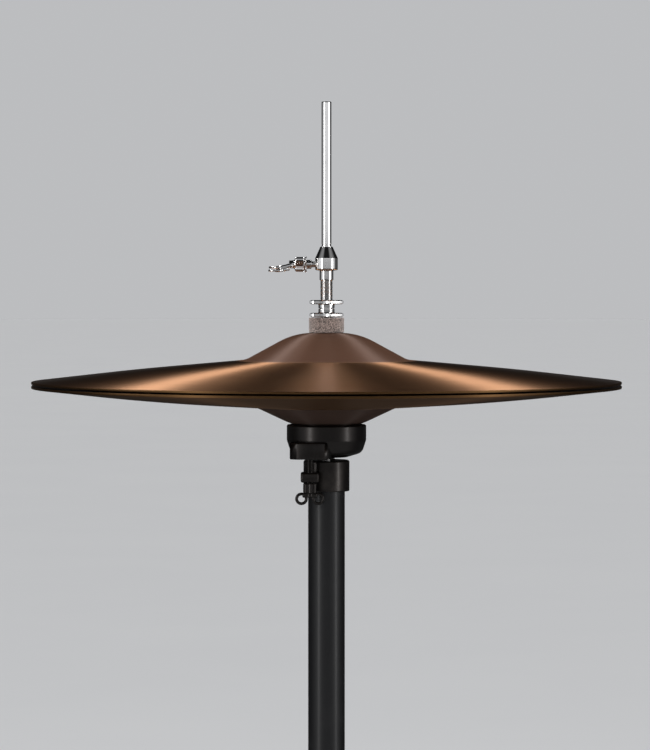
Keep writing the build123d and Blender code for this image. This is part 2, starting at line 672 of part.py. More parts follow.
with BuildPart() as tilter_base:
    turn(
        (UPPER_TUBE_RADIUS, SLEEVE_Z[0]),
        (SLEEVE_RADIUS - 0.6, SLEEVE_Z[0]),
        (SLEEVE_RADIUS, SLEEVE_Z[0] + 0.6),
        (SLEEVE_RADIUS, SLEEVE_Z[1] - 0.6),
        (SLEEVE_RADIUS - 0.6, SLEEVE_Z[1]),
        (6.0, SLEEVE_Z[1]),
        (6.0, UPPER_TUBE_Z[1]),
        (UPPER_TUBE_RADIUS, UPPER_TUBE_Z[1]),
    )
    for side in (-1, 1):
        low = 5.4 if side > 0 else -9.4
        bar(Plane.YZ, (9.0, 776.5), TILT_PIN, 9.0, low, low + 4.0)
    rod_along("X", (0, *TILT_PIN), 2.0, 40, mode=Mode.SUBTRACT)
    block((TILT_SCREW[0], TILT_SCREW[1] + 4, 773.0), (11, 14, 6))
    rod_along("Z", (*TILT_SCREW, 773.0), 2.6, 20, mode=Mode.SUBTRACT)
    rod_along("Z", (0, 0, 770.5), UPPER_TUBE_RADIUS, 21.0, mode=Mode.SUBTRACT)

with BuildPart() as tilter_hinge_pin:
    rod_along("X", (0, *TILT_PIN), 2.0, 20.4)

with BuildPart() as tube_bush:
    tube(755.0, UPPER_TUBE_Z[1], UPPER_TUBE_BORE, ROD_RADIUS + 0.1)

with BuildPart() as tilt_screw:
    rod_along("Z", (*TILT_SCREW, 776.0), 2.5, 26)
    rod_along("Z", (*TILT_SCREW, 766.4), 4.0, 6)
    screw_wings(
        Plane(origin=(*TILT_SCREW, 766.0), x_dir=(0, 0, -1), z_dir=(0.42, 0.907, 0)),
        0.5, 11.0, 6.0, 3.0, -0.9, 0.9,
    )

with BuildPart() as seat_cup:
    with BuildSketch(Plane.XZ) as cup:
        with BuildLine():
            FilletPolyline(
                (CUP_BORE, 784.3),
                (12.4, 784.3),
                (21.5, 787.0),
                (CUP_RADIUS, 794.6),
                (CUP_RADIUS, CUP_TOP_Z),
                (CUP_RADIUS - 2.5, CUP_TOP_Z),
                (CUP_RADIUS - 2.5, FELT_SEAT_Z),
                (POST_RADIUS, FELT_SEAT_Z),
                (POST_RADIUS, CUP_TOP_Z + 2),
                (CUP_BORE, CUP_TOP_Z + 2),
                radius=(0.3, 4, 5, 4, 1, 0.5, 0.4, 0.4, 0.5, 0.5),
                close=True,
            )
        make_face()
    revolve(cup.sketch, axis=Axis.Z)
    with BuildSketch(Plane.XY.offset(TILT_BLOCK[2] - 5)) as front_block:
        with Locations(TILT_BLOCK[:2]):
            Rectangle(25, 15)
        chamfer(front_block.vertices().group_by(Axis.Y)[0], 4.5)
    extrude(front_block.sketch, amount=10)
    block((0, 18.0, 781.5), (10, 6.6, 10))
    rod_along("X", (0, *TILT_PIN), 3.3, 10)
    rod_along("X", (0, *TILT_PIN), 2.05, 40, mode=Mode.SUBTRACT)
    rod_along("Z", (*TILT_SCREW, 780.0), 3.1, 22, mode=Mode.SUBTRACT)
    rod_along("Z", (0, 0, 780.0), CUP_BORE, 60, mode=Mode.SUBTRACT)

with BuildPart() as seat_felt:
    tube(FELT_SEAT_Z, BOTTOM_CROWN_Z - 0.1, 19.0, POST_RADIUS + 0.4)

# ---- write every node ---------------------------------------------------------------------

PIECES = {
    "floor_mat": floor_mat,
    "base_plate": base_plate,
    "stand_frame": stand_frame,
    "frame_screws": frame_screws,
    "heel_plate": heel_plate,
    "heel_hinge_pin": heel_hinge_pin,
    "footboard": footboard,
    "footboard_grips": footboard_grips,
    "toe_clamp": toe_clamp,
    "toe_clamp_screws": toe_clamp_screws,
    "tension_dial": tension_dial,
    "spring_housing": spring_housing,
    "return_spring": return_spring,
    "spring_cap": spring_cap,
    "lower_tube": lower_tube,
    "upper_tube": upper_tube,
    "height_bush": height_bush,
    "height_collar": height_collar,
    "height_wing_bolt": height_wing_bolt,
    "leg_collar": leg_collar,
    "leg_collar_wing_bolt": leg_collar_wing_bolt,
    "brace_hub": brace_hub,
    "upper_pull_rod": upper_pull_rod,
    "rod_coupling_nut": rod_coupling_nut,
    "lower_pull_rod": lower_pull_rod,
    "chain_yoke": chain_yoke,
    "chain_links": chain_links,
    "chain_pins": chain_pins,
    "chain_rollers": chain_rollers,
    "clutch_body": clutch_body,
    "clutch_wing_bolt": clutch_wing_bolt,
    "clutch_lower_nut": clutch_lower_nut,
    "clutch_upper_nut": clutch_upper_nut,
    "clutch_bottom_nut": clutch_bottom_nut,
    "clutch_upper_felt": clutch_upper_felt,
    "clutch_lower_felt": clutch_lower_felt,
    "top_cymbal": top_cymbal,
    "bottom_cymbal": bottom_cymbal,
    "tilter_base": tilter_base,
    "tilter_hinge_pin": tilter_hinge_pin,
    "tube_bush": tube_bush,
    "tilt_screw": tilt_screw,
    "seat_cup": seat_cup,
    "seat_felt": seat_felt,
}

for number, (leg, leg_pins, foot, brace) in enumerate(legs, start=1):
    PIECES[f"leg_{number}"] = leg
    PIECES[f"leg_{number}_pins"] = leg_pins
    PIECES[f"leg_{number}_foot"] = foot
    PIECES[f"leg_{number}_brace"] = brace

for node, piece in PIECES.items():
    finish(piece, node)

print(f"leg angle {LEG_ANGLE:.3f}, hub {HUB_Z:.2f}, board angle {BOARD_ANGLE:.3f}")
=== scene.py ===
"""The looks of a 14 inch pedal hi-hat: cymbals, clutch, tilter, stand, tripod and pedal.

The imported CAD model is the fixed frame.  Pieces are placed from their nodes' boxes, or from sizes
named in their class, in metres.
"""

from __future__ import annotations

import json
import logging
import math
from dataclasses import dataclass
from enum import Enum

import bpy
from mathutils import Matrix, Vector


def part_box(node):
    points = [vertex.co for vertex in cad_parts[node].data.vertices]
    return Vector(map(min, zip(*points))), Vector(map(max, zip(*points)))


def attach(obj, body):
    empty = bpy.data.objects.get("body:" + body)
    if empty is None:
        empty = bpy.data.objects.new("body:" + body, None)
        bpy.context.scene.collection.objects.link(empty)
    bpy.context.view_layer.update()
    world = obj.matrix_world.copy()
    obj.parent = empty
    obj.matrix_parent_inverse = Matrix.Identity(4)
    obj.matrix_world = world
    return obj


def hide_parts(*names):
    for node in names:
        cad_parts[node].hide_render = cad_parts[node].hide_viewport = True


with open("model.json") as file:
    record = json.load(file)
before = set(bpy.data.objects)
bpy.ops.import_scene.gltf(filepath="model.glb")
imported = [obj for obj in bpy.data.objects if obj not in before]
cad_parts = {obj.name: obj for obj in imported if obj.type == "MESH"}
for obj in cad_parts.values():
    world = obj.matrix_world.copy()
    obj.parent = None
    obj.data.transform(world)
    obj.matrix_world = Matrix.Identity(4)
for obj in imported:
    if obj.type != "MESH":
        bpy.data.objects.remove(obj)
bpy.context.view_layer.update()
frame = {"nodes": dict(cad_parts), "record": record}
LOG = logging.getLogger("hi_hat")
MM = 0.001
CORE = 0.02 * MM  # the least radius of a turned outline, in place of the axis itself

Point = tuple[float, float, float]
Profile = list[tuple[float, float]]
Colour = tuple[float, float, float, float]


# ---- shader maths ----------------------------------------------------------------------------


class Wire:
    """One shader output; arithmetic on it adds Math nodes."""

    def __init__(self, tree: bpy.types.NodeTree, socket: bpy.types.NodeSocket) -> None:
        """Keep the tree that new nodes join.

        Args:
            tree: the material's node tree.
            socket: the output that this wire leaves from.
        """
        self.tree = tree
        self.socket = socket

    def maths(self, operation: str, *values: Wire | float) -> Wire:
        """Add one Math node.

        Args:
            operation: the node's operation.
            values: its inputs in order, as wires or numbers.

        Returns:
            The node's result.
        """
        made = self.tree.nodes.new("ShaderNodeMath")
        made.operation = operation
        for target, value in zip(made.inputs, values):
            if isinstance(value, Wire):
                self.tree.links.new(value.socket, target)
            else:
                target.default_value = value
        return Wire(self.tree, made.outputs[0])

    def __add__(self, other: Wire | float) -> Wire:
        """Sum."""
        return self.maths("ADD", self, other)

    __radd__ = __add__

    def __sub__(self, other: Wire | float) -> Wire:
        """Difference."""
        return self.maths("SUBTRACT", self, other)

    def __rsub__(self, other: Wire | float) -> Wire:
        """Difference, the other way round."""
        return self.maths("SUBTRACT", other, self)

    def __mul__(self, other: Wire | float) -> Wire:
        """Product."""
        return self.maths("MULTIPLY", self, other)

    __rmul__ = __mul__

    def __pow__(self, other: Wire | float) -> Wire:
        """Power."""
        return self.maths("POWER", self, other)

    def step(self, low: float, high: float) -> Wire:
        """A smooth step from 0 to 1.

        Args:
            low: where it leaves 0.
            high: where it reaches 1.

        Returns:
            The step's result.
        """
        made = self.tree.nodes.new("ShaderNodeMapRange")
        made.interpolation_type = "SMOOTHSTEP"
        made.inputs["From Min"].default_value = low
        made.inputs["From Max"].default_value = high
        self.tree.links.new(self.socket, made.inputs["Value"])
        return Wire(self.tree, made.outputs[0])


class Bench:
    """One material under construction."""

    def __init__(self, name: str) -> None:
        """Start an empty material with a Principled shader.

        Args:
            name: the material's name.
        """
        self.material = bpy.data.materials.new(name)
        self.material.use_nodes = True
        self.tree = self.material.node_tree
        self.tree.nodes.clear()
        self.shader = self.tree.nodes.new("ShaderNodeBsdfPrincipled")
        output = self.tree.nodes.new("ShaderNodeOutputMaterial")
        self.tree.links.new(self.shader.outputs[0], output.inputs[0])
        self.place = self.node("ShaderNodeTexCoord", {}, {}, "Object")

    def node(self, kind: str, settings: dict, sockets: dict, out: str | int = 0) -> Wire:
        """Add any node.

        Args:
            kind: the node's type.
            settings: its properties, set first.
            sockets: its inputs by name or number, as wires or values.
            out: the output to return.

        Returns:
            The wire that leaves the node.
        """
        made = self.tree.nodes.new(kind)
        for key, value in settings.items():
            setattr(made, key, value)
        for key, value in sockets.items():
            if isinstance(value, Wire):
                self.tree.links.new(value.socket, made.inputs[key])
            else:
                made.inputs[key].default_value = value
        return Wire(self.tree, made.outputs[out])

    def noise(self, vector: Wire, scale: float, detail: float = 3.0, roughness: float = 0.55) -> Wire:
        """A 3-D noise value between 0 and 1."""
        sockets = {"Vector": vector, "Scale": scale, "Detail": detail, "Roughness": roughness}
        return self.node("ShaderNodeTexNoise", {}, sockets, "Fac")

    def axis(self, name: str) -> Wire:
        """One object coordinate, "X", "Y" or "Z", in metres."""
        return self.node("ShaderNodeSeparateXYZ", {}, {0: self.place}, name)

    def radius(self) -> Wire:
        """Distance from the Z axis, in metres."""
        x, y = self.axis("X"), self.axis("Y")
        return (x * x + y * y) ** 0.5

    def mix(self, factor: Wire | float, low: Wire | Colour, high: Wire | Colour) -> Wire:
        """Blend two colours."""
        settings = {"data_type": "RGBA"}
        return self.node("ShaderNodeMix", settings, {0: factor, 6: low, 7: high}, 2)

    def bump(self, height: Wire, distance: float) -> None:
        """Feed the shader's normal from a height.

        Args:
            height: the height, 0 to 1.
            distance: what a height of 1 is worth, in metres.
        """
        normal = self.node("ShaderNodeBump", {}, {"Height": height, "Distance": distance}, "Normal")
        self.tree.links.new(normal.socket, self.shader.inputs["Normal"])

    def put(self, **values: Wire | float | Colour) -> None:
        """Set or link the shader's sockets.

        Args:
            values: a wire or a value for each socket; an underscore in a name is a space.
        """
        for name, value in values.items():
            target = self.shader.inputs[name.replace("_", " ")]
            if isinstance(value, Wire):
                self.tree.links.new(value.socket, target)
            else:
                target.default_value = value


# ---- finishes --------------------------------------------------------------------------------


@dataclass(frozen=True)
class LathedBronze:
    """Cast bronze turned on a lathe: fine rings on the bow, a raw hammered bell, and a bare, rougher rim
    whose darker colour is painted shade along the edge.
    """

    name: str
    bell_radius: float
    bright: Colour = (0.56, 0.30, 0.16, 1)
    dull: Colour = (0.30, 0.15, 0.078, 1)
    bell: Colour = (0.118, 0.056, 0.033, 1)
    # painted shade: the rim band's colour is darker than the bow's and stands in for the dark line along
    # the edge
    edge: Colour = (0.26, 0.14, 0.06, 1)
    rim_radius: float = 176.5 * MM
    bell_fade: float = 6.0 * MM
    rim_fade: float = 0.8 * MM
    fine_rings: float = 2600.0
    broad_rings: float = 190.0
    clouding: float = 14.0
    hammering: float = 210.0
    relief: float = 0.07 * MM

    def material(self) -> bpy.types.Material:
        """Build the material: tool marks are noise along the radius, so they lie in rings."""
        bench = Bench(self.name)
        radius = bench.radius()
        ring_place = bench.node("ShaderNodeCombineXYZ", {}, {"X": radius})
        fine = bench.noise(ring_place, self.fine_rings, 2.0)
        broad = bench.noise(ring_place, self.broad_rings, 4.0, 0.7)
        cloud = bench.noise(bench.place, self.clouding, 5.0)
        hammer = bench.noise(bench.place, self.hammering, 1.0)
        on_bow = radius.step(self.bell_radius, self.bell_radius + self.bell_fade)
        rim = radius.step(self.rim_radius, self.rim_radius + self.rim_fade)
        lathed = bench.mix(broad * 0.6 + cloud * 0.5 - 0.05, self.dull, self.bright)
        patina = bench.mix(cloud.step(0.42, 0.75) * 0.45, lathed, self.dull)
        body = bench.mix(on_bow, self.bell, patina)
        # the outer rim band takes the darker edge colour, which is painted shade along the edge
        colour = bench.mix(rim, body, self.edge)
        bench.bump(fine * on_bow * 0.5 + broad * on_bow + hammer * (1 - on_bow), self.relief)
        bench.put(
            Base_Color=colour,
            Metallic=on_bow * 0.65 + 0.35,
            Roughness=0.58 - 0.25 * on_bow + 0.10 * cloud - 0.06 * fine + 0.2 * rim,
            Anisotropic=0.96,
            Anisotropic_Rotation=0.25,
        )
        return bench.material


@dataclass(frozen=True)
class BrightMetal:
    """Plated or bare metal with faint handling marks."""

    name: str
    colour: Colour
    roughness: float
    grain: float = 900.0
    depth: float = 0.001 * MM
    smudge: float = 0.10
    smears: float = 60.0

    def material(self) -> bpy.types.Material:
        """Build the material: smears darken it a little and dull it."""
        bench = Bench(self.name)
        smear = bench.noise(bench.place, self.smears, 5.0, 0.6)
        fine = bench.noise(bench.place, self.grain, 2.0)
        darker = tuple(0.8 * part for part in self.colour[:3]) + (1,)
        bench.bump(fine, self.depth)
        bench.put(
            Base_Color=bench.mix(smear.step(0.45, 0.8) * 0.5, self.colour, darker),
            Metallic=1.0,
            Roughness=smear * self.smudge + self.roughness,
        )
        return bench.material


@dataclass(frozen=True)
class StandPaint:
    """Black lacquer, nickel or powder coat on steel, with worn lighter patches."""

    name: str
    colour: Colour
    worn: Colour
    roughness: float
    metallic: float
    coat: float
    grain: float
    depth: float
    patches: float = 38.0

    def material(self) -> bpy.types.Material:
        """Build the material: worn patches are paler and rougher, under a thin clear coat."""
        bench = Bench(self.name)
        wear = bench.noise(bench.place, self.patches, 6.0, 0.65)
        fine = bench.noise(bench.place, self.grain, 3.0)
        bench.bump(fine, self.depth)
        bench.put(
            Base_Color=bench.mix(wear.step(0.52, 0.78), self.colour, self.worn),
            Metallic=self.metallic,
            Roughness=wear * 0.12 + fine * 0.05 + self.roughness,
            Coat_Weight=self.coat,
            Coat_Roughness=0.22,
        )
        return bench.material


@dataclass(frozen=True)
class PressedFelt:
    """Grey-brown pressed wool: mottled fibres, matt, with sheen."""

    name: str
    light: Colour = (0.50, 0.39, 0.34, 1)
    dark: Colour = (0.10, 0.078, 0.070, 1)
    lie: Point = (1.0, 1.0, 1.2)
    fibre_grain: float = 1500.0
    tuft_grain: float = 330.0
    nap: float = 0.5 * MM

    def material(self) -> bpy.types.Material:
        """Build the material: fine fibres over coarser tufts, pressed a little flatter than wide."""
        bench = Bench(self.name)
        pressed = bench.node("ShaderNodeMapping", {}, {"Vector": bench.place, "Scale": self.lie})
        fibres = bench.noise(pressed, self.fibre_grain, 1.0, 0.6)
        tufts = bench.noise(pressed, self.tuft_grain, 4.0, 0.6)
        bench.bump(fibres + tufts * 0.4, self.nap)
        bench.put(
            Base_Color=bench.mix((fibres * 0.85 + tufts * 0.15).step(0.42, 0.58), self.dark, self.light),
            Roughness=0.95,
            Sheen_Weight=0.5,
        )
        return bench.material


@dataclass(frozen=True)
class Moulded:
    """Rubber or nylon with a fine moulded grain."""

    name: str
    colour: Colour
    roughness: float
    grain: float = 1400.0
    dusting: float = 26.0
    depth: float = 0.05 * MM

    def material(self) -> bpy.types.Material:
        """Build the material: moulded grain with pale dust in broad patches."""
        bench = Bench(self.name)
        grain = bench.noise(bench.place, self.grain, 3.0)
        dust = bench.noise(bench.place, self.dusting, 5.0)
        pale = tuple(part + 0.035 for part in self.colour[:3]) + (1,)
        bench.bump(grain, self.depth)
        bench.put(
            Base_Color=bench.mix(dust.step(0.5, 0.85) * 0.6, self.colour, pale),
            Roughness=grain * 0.1 + self.roughness,
        )
        return bench.material


class Slot(Enum):
    """The record's material slots and the finish that each one takes."""

    BRONZE = LathedBronze("top_bronze", 50.0 * MM)
    CHROME = BrightMetal("chrome_plate", (0.90, 0.89, 0.88, 1), 0.045, smudge=0.05)
    FELT = PressedFelt("pressed_felt")
    GLOSS_BLACK = StandPaint(
        "gloss_black",
        colour=(0.006, 0.006, 0.007, 1),
        worn=(0.012, 0.012, 0.013, 1),
        roughness=0.36,
        metallic=0.0,
        coat=0.2,
        grain=260.0,
        depth=0.01 * MM,
    )
    BLACK_NICKEL = StandPaint(
        "black_nickel",
        colour=(0.035, 0.031, 0.029, 1),
        worn=(0.075, 0.066, 0.060, 1),
        roughness=0.27,
        metallic=0.9,
        coat=0.25,
        grain=700.0,
        depth=0.02 * MM,
    )
    CAST_FRAME = StandPaint(
        "cast_frame",
        colour=(0.022, 0.022, 0.024, 1),
        worn=(0.045, 0.045, 0.048, 1),
        roughness=0.42,
        metallic=0.3,
        coat=0.2,
        grain=900.0,
        depth=0.09 * MM,
    )
    STEEL = BrightMetal("zinc_steel", (0.58, 0.58, 0.60, 1), 0.24, 1500.0, 0.01 * MM, 0.2)
    RUBBER = Moulded("black_rubber", (0.018, 0.018, 0.019, 1), 0.68)
    NYLON = Moulded("black_nylon", (0.03, 0.03, 0.032, 1), 0.42)


# ---- modelling helpers -----------------------------------------------------------------------


def deselect() -> None:
    """Leave edit mode and select nothing."""
    if bpy.context.object and bpy.context.object.mode != "OBJECT":
        bpy.ops.object.mode_set(mode="OBJECT")
    bpy.ops.object.select_all(action="DESELECT")


def pick(piece: bpy.types.Object) -> None:
    """Select one piece alone, in object mode.

    Args:
        piece: the piece that the next operators act on.
    """
    deselect()
    piece.select_set(True)
    bpy.context.view_layer.objects.active = piece


def low(node: str) -> tuple[float, ...]:
    """The lowest corner of a CAD node."""
    return tuple(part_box(node)[0])


def high(node: str) -> tuple[float, ...]:
    """The highest corner of a CAD node."""
    return tuple(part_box(node)[1])


def rounded(corners: Profile, radii: list[float], steps: int = 5) -> Profile:
    """Round the inner corners of an outline.

    Args:
        corners: the outline's points, in metres.
        radii: one radius for each corner between the first and last point.
        steps: straight pieces in each rounded corner.

    Returns:
        The outline with an arc at each corner.
    """
    outline = [corners[0]]
    for before, corner, after, radius in zip(corners, corners[1:], corners[2:], radii):
        first = (before[0] - corner[0], before[1] - corner[1])
        second = (after[0] - corner[0], after[1] - corner[1])
        length_1, length_2 = math.hypot(*first), math.hypot(*second)
        unit_1 = (first[0] / length_1, first[1] / length_1)
        unit_2 = (second[0] / length_2, second[1] / length_2)
        cosine = max(-1.0, min(1.0, unit_1[0] * unit_2[0] + unit_1[1] * unit_2[1]))
        half = math.acos(cosine) / 2
        reach = radius / math.tan(half)
        start = (corner[0] + unit_1[0] * reach, corner[1] + unit_1[1] * reach)
        end = (corner[0] + unit_2[0] * reach, corner[1] + unit_2[1] * reach)
        bisector = (unit_1[0] + unit_2[0], unit_1[1] + unit_2[1])
        scale = radius / math.sin(half) / math.hypot(*bisector)
        centre = (corner[0] + bisector[0] * scale, corner[1] + bisector[1] * scale)
        angle = math.atan2(start[1] - centre[1], start[0] - centre[0])
        sweep = math.atan2(end[1] - centre[1], end[0] - centre[0]) - angle
        sweep = (sweep + math.pi) % (2 * math.pi) - math.pi
        for step in range(steps + 1):
            turn = angle + sweep * step / steps
            outline.append((centre[0] + radius * math.cos(turn), centre[1] + radius * math.sin(turn)))
    outline.append(corners[-1])
    return outline


class Axis(Enum):
    """The way a turned piece's axis points: the rotation that takes +Z there."""

    UP = (0.0, 0.0, 0.0)
    LEFT = (0.0, -math.pi / 2, 0.0)


def finish_piece(piece: bpy.types.Object, angle: float = 32.0) -> bpy.types.Object:
    """Merge doubles, turn the faces outwards, shade smooth and put the place in the mesh.

    Args:
        piece: the active object.
        angle: edges sharper than this stay sharp, in degrees.

    Returns:
        The piece.
    """
    bpy.ops.object.mode_set(mode="EDIT")
    bpy.ops.mesh.select_all(action="SELECT")
    bpy.ops.mesh.remove_doubles(threshold=0.004 * MM)
    bpy.ops.mesh.normals_make_consistent(inside=False)
    pick(piece)
    bpy.ops.object.transform_apply(location=True, rotation=True, scale=True)
    bpy.ops.object.shade_smooth_by_angle(angle=math.radians(angle))
    return piece


def supported(profile: Profile) -> Profile:
    """Add a ring near both ends of each long run, so that flats shade flat.

    Args:
        profile: (radius, height) points of a closed outline, in metres.

    Returns:
        The same outline with the extra points.
    """
    reach, shortest = 0.25 * MM, 1.2 * MM
    rings: Profile = []
    for (r_1, h_1), (r_2, h_2) in zip(profile, profile[1:] + profile[:1]):
        rings.append((r_1, h_1))
        run = math.hypot(r_2 - r_1, h_2 - h_1)
        if run > shortest:
            for share in (reach / run, 1 - reach / run):
                rings.append((r_1 + (r_2 - r_1) * share, h_1 + (h_2 - h_1) * share))
    return rings


def turned(
    name: str,
    profile: Profile,
    segments: int = 96,
    place: Point = (0.0, 0.0, 0.0),
    axis: Axis = Axis.UP,
    flutes: tuple[float, float] | None = None,
    angle: float = 32.0,
    crisp: bool = True,
) -> bpy.types.Object:
    """Turn a closed outline about an axis, ring by ring, as on a lathe.

    Args:
        name: the piece's name.
        profile: (radius, height) points of the closed outline, in metres.
        segments: flats around the axis.
        place: where the outline's zero point lies.
        axis: which way the outline's height points.
        flutes: (least radius, share) cuts a knurl: beyond that radius every other vertex moves in.
        angle: edges sharper than this stay sharp, in degrees.
        crisp: keep flat and straight runs from shading as if they were curved.

    Returns:
        The finished piece.
    """
    if crisp:
        profile = supported(profile)
    deselect()
    bpy.ops.mesh.primitive_circle_add(vertices=segments, radius=profile[0][0], fill_type="NOTHING")
    piece = bpy.context.object
    piece.name = name
    bpy.ops.object.mode_set(mode="EDIT")
    bpy.ops.mesh.select_all(action="SELECT")
    bpy.ops.transform.translate(value=(0, 0, profile[0][1]))
    for (radius, height), (next_radius, next_height) in zip(profile, profile[1:] + profile[:1]):
        bpy.ops.mesh.extrude_region_move(
            TRANSFORM_OT_translate={"value": (0, 0, next_height - height)}
        )
        share = next_radius / radius
        bpy.ops.transform.resize(value=(share, share, 1), center_override=(0, 0, next_height))
    bpy.ops.mesh.select_all(action="DESELECT")
    deselect()
    if flutes:
        pick(piece)
        for index, vertex in enumerate(piece.data.vertices):
            vertex.select = bool(index % 2) and math.hypot(*vertex.co[:2]) > flutes[0]
        bpy.ops.object.mode_set(mode="EDIT")
        bpy.ops.transform.resize(value=(flutes[1], flutes[1], 1), center_override=(0, 0, 0))
        deselect()
    piece.location = place
    piece.rotation_euler = axis.value
    pick(piece)
    return finish_piece(piece, angle)


def milled(
    name: str, centre: Point, size: Point, bevel: float, turn: Point = (0.0, 0.0, 0.0)
) -> bpy.types.Object:
    """A block with rounded edges.

    Args:
        name: the piece's name.
        centre: its centre, in metres.
        size: its size along its own axes.
        bevel: the edges' rounding.
        turn: its rotation, in radians.

    Returns:
        The finished piece.
    """
    deselect()
    bpy.ops.mesh.primitive_cube_add(size=1, location=centre, rotation=turn)
    piece = bpy.context.object
    piece.name = name
    piece.scale = size
    bpy.ops.object.transform_apply(location=True, rotation=True, scale=True)
    bpy.ops.object.mode_set(mode="EDIT")
    bpy.ops.mesh.select_all(action="SELECT")
    bpy.ops.mesh.bevel(offset=bevel, segments=3, affect="EDGES")
    return finish_piece(piece)


def joined(name: str, pieces: list[bpy.types.Object]) -> bpy.types.Object:
    """Join meshes into one piece.

    Args:
        name: the joined piece's name.
        pieces: the meshes; the first one takes in the others.

    Returns:
        The joined piece.
    """
    deselect()
    for piece in pieces:
        piece.select_set(True)
    bpy.context.view_layer.objects.active = pieces[0]
    bpy.ops.object.join()
    pieces[0].name = name
    return pieces[0]


def thread(radius: float, bottom: float, top: float, pitch: float, depth: float) -> Profile:
    """The crests and roots of a fine thread, as rings from bottom to top.

    Args:
        radius: the crests' radius.
        bottom: where the thread starts.
        top: where it ends.
        pitch: height of one turn.
        depth: how far the roots lie inside the crests.

    Returns:
        The (radius, height) points of that stretch of an outline.
    """
    turns = int((top - bottom) / pitch)
    rings: Profile = []
    for turn in range(turns):
        start = bottom + (top - bottom) * turn / turns
        rings.append((radius - depth, start + pitch * 0.08))
        rings.append((radius, start + pitch * 0.42))
        rings.append((radius, start + pitch * 0.58))
        rings.append((radius - depth, start + pitch * 0.92))
    return rings


class Shop:
    """Gives finished pieces their slot's material and their body, and hides the CAD nodes that they stand
    for.
    """

    def __init__(self) -> None:
        """Make each slot's material once, and the bottom cymbal's bronze, painted darker as painted shade
        for the cymbal that hangs underneath.
        """
        self.materials = {slot: slot.value.material() for slot in Slot}
        # painted shade: the bottom cymbal's colours are darker than the top cymbal's to stand in for the
        # shade it hangs in
        self.bottom_bronze = LathedBronze(
            "bottom_bronze",
            44.0 * MM,
            bright=(0.34, 0.19, 0.10, 1),
            dull=(0.18, 0.095, 0.05, 1),
            bell=(0.045, 0.024, 0.016, 1),
        ).material()

    def place(
        self,
        piece: bpy.types.Object,
        body: str,
        slot: Slot,
        replaces: tuple[str, ...] = (),
        material: bpy.types.Material | None = None,
    ) -> None:
        """Dress a piece and put it on its body.

        Args:
            piece: the finished mesh.
            body: the CAD body it rides on.
            slot: the material slot it takes its finish from.
            replaces: CAD nodes that it stands for.
            material: a material in place of the slot's own.
        """
        piece.data.materials.clear()
        piece.data.materials.append(material or self.materials[slot])
        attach(piece, body)
        slot.name.lower()
        if replaces:
            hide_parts(*replaces)
        LOG.info("%s rides on %s as %s", piece.name, body, slot.name.lower())

    def dress_frame(self) -> None:
        """Give every CAD node that still shows the material of its slot."""
        for part in frame["record"]["subparts"]:
            node = frame["nodes"][part["node"]]
            material = self.materials[Slot[part["material_slot"].upper()]]
            for index in range(max(1, len(node.material_slots))):
                if node.material_slots:
                    node.material_slots[index].material = material
                else:
                    node.data.materials.append(material)


# ---- cymbals ---------------------------------------------------------------------------------


@dataclass
class Cymbal:
    """One cymbal: a turned shell with an arched bow and a bell.

    Heights are measured from the rim towards the bell: up (sign 1) or down (sign -1).
    """

    node: str
    body: str
    sign: int
    base: tuple[float, float]
    shoulder: float
    rise: float
    wall: float
    radius: float = 177.8 * MM
    hole: float = 6.25 * MM
    bow: tuple[float, float] = (116.9 * MM, 6.9 * MM)
    radii: tuple[float, float, float] = (1500.0 * MM, 14.0 * MM, 42.0 * MM)

    def face(self, shift: float) -> Profile:
        """One face, from rim to hole.

        Args:
            shift: how far the face lies behind the bell's side: 0 or the wall.

        Returns:
            Its (radius, rise) points, close enough together for a smooth bow.
        """
        corners = [
            (self.radius - 0.15 * MM, 0.0),
            self.bow,
            self.base,
            (self.shoulder, self.rise),
            (self.hole, self.rise),
        ]
        outline = rounded(corners, list(self.radii), 10)
        dense: Profile = []
        for (r_1, h_1), (r_2, h_2) in zip(outline, outline[1:]):
            parts = max(1, round((r_1 - r_2) / (7 * MM)))
            dense += [(r_1 + (r_2 - r_1) * k / parts, h_1 + (h_2 - h_1) * k / parts) for k in range(parts)]
        dense.append(outline[-1])
        return [(r, h - shift) for r, h in dense]

    def build(self, shop: Shop) -> None:
        """Turn the shell with its rim and dress it.

        Args:
            shop: what dresses the piece.
        """
        rim = high(self.node)[2] - self.rise if self.sign > 0 else low(self.node)[2] + self.rise
        edge = [(self.radius, -0.35 * self.wall), (self.radius, -0.65 * self.wall)]
        outline = self.face(0.0)[::-1] + edge + self.face(self.wall)
        profile = [(r, rim + self.sign * h) for r, h in outline]
        shell = turned(f"{self.node}_shell", profile, segments=256, angle=50.0, crisp=False)
        # the bottom cymbal takes the darker bronze, which is painted shade
        material = None if self.sign > 0 else shop.bottom_bronze
        shop.place(shell, self.body, Slot.BRONZE, (self.node,), material)


# ---- clutch ----------------------------------------------------------------------------------


